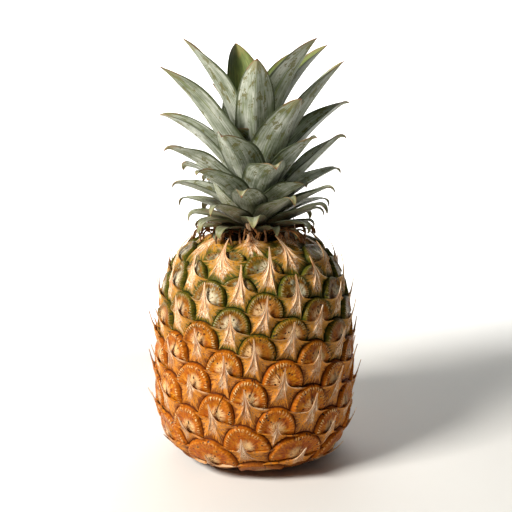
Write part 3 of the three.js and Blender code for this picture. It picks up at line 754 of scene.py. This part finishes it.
LEAF_NUDGE = {
    -10: (0, -1, -10), -8: (0, -2, -8), -7: (0, -6, -14), -6: (0, 2, -1),
    -5: (4, -24, -52), -4: (6, 0, 1.5), -3: (-4, 3, -0.5), -2: (8, -0.5, 0.7), -1: (0, -9, -1),
    0: (2, 0, -4), 1: (-14, -12, -21), 2: (0, -1, 1.5), 3: (-5, 8, 3.5), 5: (0, -8, -2),
    6: (0, 5.5, -7.5), 7: (-5, 8, 5.5), 8: (0, -6, -7), 10: (-8, -14, 0),
    11: (0, -0.5, -3.5), 13: (0, 0, -8), 14: (0, 1, -15), 15: (0, 2, 9), 16: (0, -4, -6),
    18: (0, -11, -6), 19: (0, -2, -6), 20: (-17, 7.5, 2.5), 21: (0, 0, -2),
    23: (0, -3, -1.5), 24: (0, -20, 9), 26: (0, 2, 1), 27: (0, 0, -7), 28: (0, -1.5, -5),
    29: (0.5, 2, 0.5), 32: (0, -8, -6), 34: (-5.5, 0, -2), 36: (2.5, -1, 0.5),
    37: (0, -1, -4), 39: (12, 0, -4), 40: (0, -5, -6), 42: (-17, -2, -4), 44: (0, 0, 1),
    45: (0, -2, -3), 47: (2, 3, 2), 49: (0, -1.5, -2.5), 50: (-6, -1, -1),
}  # degrees round, reach and rise, for leaves that grew out of line
LEAF_STRAY = (5, 2, 3)  # the most that the others stray, in the same way
LEAF_THICK, LEAF_THIN, LEAF_EDGE = 1.5, 0.5, 0.35  # at the root, the tip and the edge
LEAF_SUNK = 2.5  # how far a leaf's root runs into the stem
LEAF_WAVE, LEAF_TWIST = 0.22, 0.25
CURL_FROM = (0.9, 0.74)  # where the hook starts, on inner leaves and on outer ones
KEEL = (0.66, 0.5)  # depth at the root and the tip, as a share of the half width
OUTER_KEEL = 0.6  # and how much of that an outer leaf has
STEM = ((15.5, 0), (15, 6), (11, 30), (2, 58))  # radius, and height over the seat
CLEAR = 0.4  # between the crown and the neck
SEAT = NECK[1] + CLEAR
# Places along a leaf, and the share of its width there.
BLADE = ((0, 0.66), (0.24, 0.95), (0.48, 1), (0.7, 0.86), (0.87, 0.5), (0.95, 0.22), (1, 0))
LEAF_ROWS, LEAF_HALF = 36, 6


def leaf_station(number):
    table = np.array(CROWN_STATIONS, float)
    return [float(np.interp(number, table[:, 0], table[:, i])) for i in range(1, 7)]


def smooth_through(stops, t):
    """A smooth curve through (place, value) stops."""
    x, y = np.array(stops, float).T
    slope = np.gradient(y, x)
    i = np.clip(np.searchsorted(x, t) - 1, 0, len(x) - 2)
    w = x[i + 1] - x[i]
    q = (t - x[i]) / w
    return ((2 * q ** 3 - 3 * q * q + 1) * y[i] + (q ** 3 - 2 * q * q + q) * w * slope[i]
            + (3 * q * q - 2 * q ** 3) * y[i + 1] + (q ** 3 - q * q) * w * slope[i + 1])


def leaf_line(start, end, lean, hook, curl, t):
    """A line that leaves at one lean, bends evenly, and hooks over in its last part."""
    goal = math.atan2(end[0] - start[0], end[1] - start[1])
    low, high = -1.5, 3.5
    for _ in range(40):
        level = (low + high) / 2
        way = lean + (level - lean) * t + hook * smooth(curl, 1, t)
        steps = np.stack([np.sin(way), np.cos(way)], -1)
        steps = (steps[1:] + steps[:-1]) / 2 * np.diff(t)[:, None]
        line = np.concatenate([[[0, 0]], np.cumsum(steps, 0)])
        if math.atan2(line[-1, 0], line[-1, 1]) < goal:
            low = level
        else:
            high = level
    return start + line * math.dist(start, end) / math.hypot(*line[-1])


leaf_points, leaf_faces, leaf_blade, leaf_look = [], [], [], []
for number in LEAVES:
    root, reach, rise, lean, hook, width = leaf_station(number)
    stray = [most * scatter(number, 4 + i) for i, most in enumerate(LEAF_STRAY)]
    nudge = LEAF_NUDGE.get(number, stray)
    angle = math.radians(LEAF_TURN * number + nudge[0])
    reach, rise = reach + nudge[1], rise + nudge[2]
    stem_radius = float(np.interp(root, [p[1] for p in STEM], [p[0] for p in STEM]))
    t = 1 - np.linspace(1, 0, LEAF_ROWS + 1) ** 1.25
    curl = lerp(*CURL_FROM, float(smooth(14, 34, number)))
    line = leaf_line(np.array([stem_radius - LEAF_SUNK, root]), np.array([reach, rise]),
                     math.radians(lean), math.radians(hook), curl, t)
    t = t[:, None]
    way = np.gradient(line, t[:, 0], axis=0)
    way /= np.linalg.norm(way, axis=1)[:, None]
    half = width / 2 * np.clip(smooth_through(BLADE, t[:, 0]), 0.015, 1.2)
    slim = 0.6 * smooth(16, 27, number) - 0.35 * smooth(28, 33, number)
    half = half * lerp(1.1, 1.1 - slim, smooth(0.3, 0.85, t[:, 0]))
    keel = half * lerp(*KEEL, t[:, 0]) * lerp(1, OUTER_KEEL, smooth(10, 30, number))
    thick = lerp(LEAF_THICK, LEAF_THIN, t[:, 0])
    across = np.array([math.cos(angle), math.sin(angle), 0])
    outward = np.array([math.sin(angle), -math.cos(angle), 0])
    middle = line[:, :1] * outward + np.array([0, 0, 1]) * (line[:, 1:] + SEAT)
    below = way[:, 1:] * outward - np.array([0, 0, 1]) * way[:, :1]
    x = np.linspace(-1, 1, 2 * LEAF_HALF + 1)
    fold = (np.sqrt(x * x + 0.03) - math.sqrt(0.03)) / (math.sqrt(1.03) - math.sqrt(0.03))
    wave = LEAF_WAVE * np.sin(t * (9 + 3 * scatter(number, 31)) + 6 * scatter(number, 32)) * t
    twist = LEAF_TWIST * scatter(number, 35) * t * t
    outer_u = half[:, None] * x
    outer_v = -keel[:, None] * fold * (1 + wave * np.sign(x) * x * x) + twist * outer_u
    rim = np.minimum(LEAF_EDGE, half * 0.4)[:, None]
    depth = rim + (thick[:, None] - rim) * (1 - np.abs(x)) ** 0.7
    depth = np.minimum(depth, half[:, None] * 0.7)
    first = len(leaf_points)
    for side, v, order in ((0, outer_v, 1), (1, outer_v - depth, -1)):
        u = outer_u * (1 - 0.02 * side)
        xyz = (middle[:, None] + u[..., None] * across + v[..., None] * below[:, None])
        leaf_points.extend(xyz[:, ::order].reshape(-1, 3))
        xs = np.broadcast_to(x, u.shape)[:, ::order]
        leaf_blade.extend(np.stack([xs, np.broadcast_to(t, u.shape),
                                    np.full(u.shape, side)], -1).reshape(-1, 3))
        leaf_look.extend([(scatter(number, 33), number, 0)] * u.size)
    row, count = len(x), len(x) * (LEAF_ROWS + 1)

    def ring(i):
        return ([first + i * row + j for j in range(row)]
                + [first + count + i * row + j for j in range(row)])

    for i in range(LEAF_ROWS):
        a, b = ring(i), ring(i + 1)
        leaf_faces += [(a[j - 1], a[j], b[j], b[j - 1]) for j in range(len(a))]
    leaf_faces += [tuple(ring(0)[::-1]), tuple(ring(LEAF_ROWS))]

# Waxy succulent leaf: grey green under a matt bloom, fine grooves along it, olive
# scratches where the bloom is rubbed off, tan dried tips, yellow green inside.
leaf_skin, add = new_material("waxy pineapple leaf")
x, t, side = add("SeparateXYZ", add("Attribute", attribute_name="blade", out=1), out=slice(3))
chance, leaf_number = add("SeparateXYZ", add("Attribute", attribute_name="look", out=1),
                          out=slice(2))
own = add(TIMES, chance, 60)
# Grooves about 0.5 mm apart across the blade, broad clouds in the bloom, scratches, and
# longer streaks where the bloom thins along the grooves.
grain, clouds, rubbed, streak = (
    add("TexNoise", add("CombineXYZ", add(TIMES, x, across),
                        add(TIMES, t, lengthwise), start),
        at={"Scale": 1, "Detail": detail, "Roughness": rough})
    for across, lengthwise, start, detail, rough in (
        (22, 4, own, 3, 0.6), (1.6, 6, own, 4, 0.6), (3.5, 11, own, 5, 0.7),
        (9, 3, add(PLUS, own, 7), 4, 0.65)))
shade = add(PLUS, add(TIMES, grain, 0.5), add(TIMES, clouds, 0.5))
outer = add("ValToRGB", shade,
            stops=[(0.35, "#5f6a50"), (0.44, "#878f7a"), (0.52, "#aeb4a4"), (0.62, "#d6d9cf")])
inner = add("ValToRGB", shade, stops=[(0.35, "#46522a"), (0.5, "#66743c"), (0.64, "#929a58")])
inside = add(TIMES, side, add(EASED, leaf_number, 3, -1, 0.06, 1))
colour = add(PAINT, at={0: inside, 6: outer, 7: inner})
worn = add(PLUS, rubbed, add("MapRange", t, 0.4, 0.9, 0, 0.05))
worn = add(TIMES, add(EASED, worn, 0.585, 0.605), 0.85)
tints = [(worn, "#6c6834")]
streak = add(TIMES, add(EASED, streak, 0.54, 0.66), add("MapRange", t, 0.15, 0.6, 0.25, 0.75))
tints += [(streak, "#6f7c3a")]
# The lowest leaves are old: olive and brown towards the fruit.
old = add(EASED, leaf_number, 15, 38)
old_spot = add(TIMES, old, add(EASED, rubbed, 0.58, 0.42))
tints += [(add(TIMES, old, 0.6), "#5a5e2e")]
brown_place = add(TIMES, old_spot, add(EASED, t, 0.95, 0.45))
tints += [(add(TIMES, brown_place, 0.8), "#70481f")]
to_tip = add(PLUS, t, add(TIMES, rubbed, 0.35))
tints += [(add(TIMES, add(EASED, to_tip, 1.04, 1.1), 0.65), "#86804c")]
edge = add("Math", x, operation="ABSOLUTE")
tints += [(add(TIMES, add(EASED, edge, 0.86, 0.95), 0.9), "#3c4622")]
# The edge is rusty near the tip, and the tip itself is dry.
rust = add(TIMES, add(EASED, edge, 0.8, 0.92), add(EASED, to_tip, 1, 1.1))
tints += [(add(TIMES, rust, 0.7), "#8e6a44"), (add(EASED, t, 0.965, 0.99), "#7d5231")]
for amount, tint in tints:
    colour = add(PAINT, at={0: amount, 6: colour, 7: tint})
bump = add("Bump", 0.3, 0.0004, at={"Height": grain})
add("OutputMaterial",
    add("BsdfPrincipled", colour,
        at={"Roughness": 0.5, "Normal": bump, "IOR": 1.45, "Sheen Weight": 0.05}))
add_piece("leaves", leaf_points, leaf_faces, leaf_skin,
          {"blade": leaf_blade, "look": leaf_look}, "crown", crisp=60)

# ---------------- neck
# The crown's stem sinks into a dark hollow in the fruit's top. Round it stand strands
# of torn bract that bridge from the rim to the stem, and the oldest small leaves, dried
# to thin brown curls that arch out and hook down.
strip_points, strip_faces, strip_look = [], [], []


def add_strip(line, angle, slant, half, thick, look):
    """A thin ridged strip along a line of radius and height, in mm."""
    steps = len(line)
    t = np.linspace(0, 1, steps)[:, None]
    turned = angle + slant * t
    outward = np.concatenate([np.sin(turned), -np.cos(turned), 0 * turned], 1)
    across = np.concatenate([np.cos(turned), np.sin(turned), 0 * turned], 1)
    middle = line[:, :1] * outward + np.array([0, 0, 1]) * line[:, 1:]
    way = np.gradient(middle, axis=0)
    normal = np.cross(across, way)
    normal /= np.linalg.norm(normal, axis=1)[:, None]
    first = len(strip_points)
    for du, dn in ((-1, 0), (0, 0.45), (1, 0), (0.9, -1), (0, -0.55), (-0.9, -1)):
        strip_points.extend(middle + across * du * half + normal * dn * thick)
        strip_look.extend(np.concatenate([t, np.full((steps, 2), (look, du))], 1))
    for k in range(6):
        a, b = first + k * steps, first + (k + 1) % 6 * steps
        strip_faces.extend((a + i, b + i, b + i + 1, a + i + 1) for i in range(steps - 1))
    strip_faces.append(tuple(first + k * steps for k in range(6))[::-1])
    strip_faces.append(tuple(first + k * steps + steps - 1 for k in range(6)))


STRANDS, CURLS = 28, 54
STRAND = ((27.5, 142.6), (28.5, 146.5), (24, 150), (16.5, 152))  # radius and height
CURL = ((15, 143.5), (24, 150.5), (36, 153.5), (34, 144.2))
for i in range(STRANDS):
    t = np.linspace(0, 1, 14)[:, None]
    a, b, c = (scatter(i, salt) for salt in (51, 52, 53))
    stray = ((2 * a, 0), (2 * b, c), (3 * c, 2 * a), (0, 2 * b))
    line = bezier(*np.add(STRAND, stray), t)
    half = (0.8 + 0.5 * b * c) * (1 - 0.4 * np.sin(math.pi * t) + 0.9 * (1 - t) ** 6)
    add_strip(line, math.radians(360 / STRANDS * (i + 0.8 * a)), 0.25 * b, half, 0.5,
              0.5 + 0.5 * c)
for i in range(CURLS):
    t = np.linspace(0, 1, 18)[:, None]
    a, b, c = (scatter(i, salt) for salt in (61, 62, 63))
    stray = ((0, 3 * b), (0, 3 * b), (5 * a, 3 * c), (5 * a, 2.2 * c))
    line = bezier(*np.add(CURL, stray), t)
    half = (0.95 + 0.35 * b) * (1.02 - t) ** 0.6
    add_strip(line, math.radians(137.5 * i + 9 * c), 0.35 * b, half, 0.75, -0.5 + 0.5 * c)

# Dry plant fibre, torn and brittle: pink tan strands, dark brown curls.
strip_skin, add = new_material("dried bract fibre")
t, tone, across = add("SeparateXYZ", add("Attribute", attribute_name="look", out=1), out=slice(3))
grain = add("TexNoise",
            add("CombineXYZ", add(TIMES, across, 2), add(TIMES, t, 3), add(TIMES, tone, 90)),
            at={"Scale": 1, "Detail": 3})
pink = add("ValToRGB", grain, stops=[(0.3, "#5c3416"), (0.5, "#a66e42"), (0.7, "#dcab80")])
brown = add("ValToRGB", grain, stops=[(0.3, "#321a06"), (0.5, "#744312"), (0.7, "#a8743a")])
colour = add(PAINT, at={0: add(EASED, tone, -0.1, 0.1), 6: brown, 7: pink})
add("OutputMaterial", add("BsdfPrincipled", colour, at={"Roughness": 0.7, "IOR": 1.45}))
add_piece("neck_fibres", strip_points, strip_faces, strip_skin, {"look": strip_look})

# ---------------- crown stem
# The short fibrous stem that the leaves wrap, seen only at its foot in the hollow, where it grew
# out of the fruit and still carries the dark bases of leaves that fell. Its colour runs from dark
# brown to near black, partly painted shade of the hollow.
STEM_ROUND = 24
stem_levels = [(radius, height + SEAT) for radius, height in ((0.5, 0), *STEM, (0.3, 58.5))]
stem_points, stem_faces = turned(stem_levels, STEM_ROUND)
stem_faces += [tuple(range(STEM_ROUND))[::-1],
               tuple(range(len(stem_points) - STEM_ROUND, len(stem_points)))]
stem_skin, add = new_material("dried leaf bases")
fibre = add("TexNoise", add("Mapping", add("TexCoord", out=3), at={"Scale": (900, 900, 90)}),
            at={"Scale": 1})
stem_shade_colour = add("ValToRGB", fibre,
                  stops=[(0.3, "#0f0803"), (0.55, "#2e1c0d"), (0.75, "#5a4028")])
add("OutputMaterial", add("BsdfPrincipled", stem_shade_colour, at={"Roughness": 0.8}))
add_piece("crown_stem", stem_points, stem_faces, stem_skin, {}, "crown")

# ---------------- studio
# A pale floor that sweeps up behind, with one soft box at the upper left and one lamp
# for the sweep.
SWEEP_START, SWEEP_RADIUS, SWEEP_TOP, SWEEP_HALF = 0.7, 0.45, 1.6, 2.2
profile_line = [(-SWEEP_HALF, 0)] + [
    (SWEEP_START + SWEEP_RADIUS * math.sin(a), SWEEP_RADIUS * (1 - math.cos(a)))
    for a in np.linspace(0, math.pi / 2, 25)] + [(SWEEP_START + SWEEP_RADIUS, SWEEP_TOP)]
floor_mesh = bpy.data.meshes.new("floor")
floor_mesh.from_pydata([(x, y, z) for y, z in profile_line for x in (-SWEEP_HALF, SWEEP_HALF)],
                       [], [(2 * i, 2 * i + 1, 2 * i + 3, 2 * i + 2)
                            for i in range(len(profile_line) - 1)])
floor_mesh.shade_smooth()
floor = bpy.data.objects.new("floor", floor_mesh)
bpy.context.scene.collection.objects.link(floor)
floor_paint, add = new_material("matt white floor paint")
add("OutputMaterial", add("BsdfPrincipled", "#e4e4e2", at={"Roughness": 0.9}))
floor_mesh.materials.append(floor_paint)

world = bpy.data.worlds.new("studio")
bpy.context.scene.world = world
world.use_nodes = True
world.node_tree.nodes["Background"].inputs[0].default_value = (1, 1, 1, 1)
world.node_tree.nodes["Background"].inputs[1].default_value = 0.05


def add_light(name, place, aim, size, watts, code):
    """A square soft box at a place, turned to face a point."""
    data = bpy.data.lights.new(name, "AREA")
    data.size = size
    data.energy = watts
    data.color = linear(code)[:3]
    light = bpy.data.objects.new(name, data)
    light.location = place
    light.rotation_euler = (Vector(aim) - Vector(place)).to_track_quat("-Z", "Y").to_euler()
    bpy.context.scene.collection.objects.link(light)


add_light("key", (-0.8, -0.56, 0.8), (0, 0, 0.12), 0.35, 24.5, "#fffaf2")
add_light("sweep lamp", (0, 0.45, 0.95), (0, 1.15, 0.75), 0.8, 30, "#ffffff")

CAMERA_DISTANCE = 0.510
CAMERA_TILT = math.radians(11.5)
camera_data = bpy.data.cameras.new("camera")
camera_data.lens = 55.7
camera_data.sensor_width = 36
camera = bpy.data.objects.new("camera", camera_data)
aim = Vector((0.001, 0, 0.1295))
camera.location = aim + CAMERA_DISTANCE * Vector((0, -math.cos(CAMERA_TILT),
                                                  math.sin(CAMERA_TILT)))
camera.rotation_euler = (math.pi / 2 - CAMERA_TILT, 0, 0)
bpy.context.scene.collection.objects.link(camera)
bpy.context.scene.camera = camera
bpy.context.scene.view_settings.view_transform = "Standard"
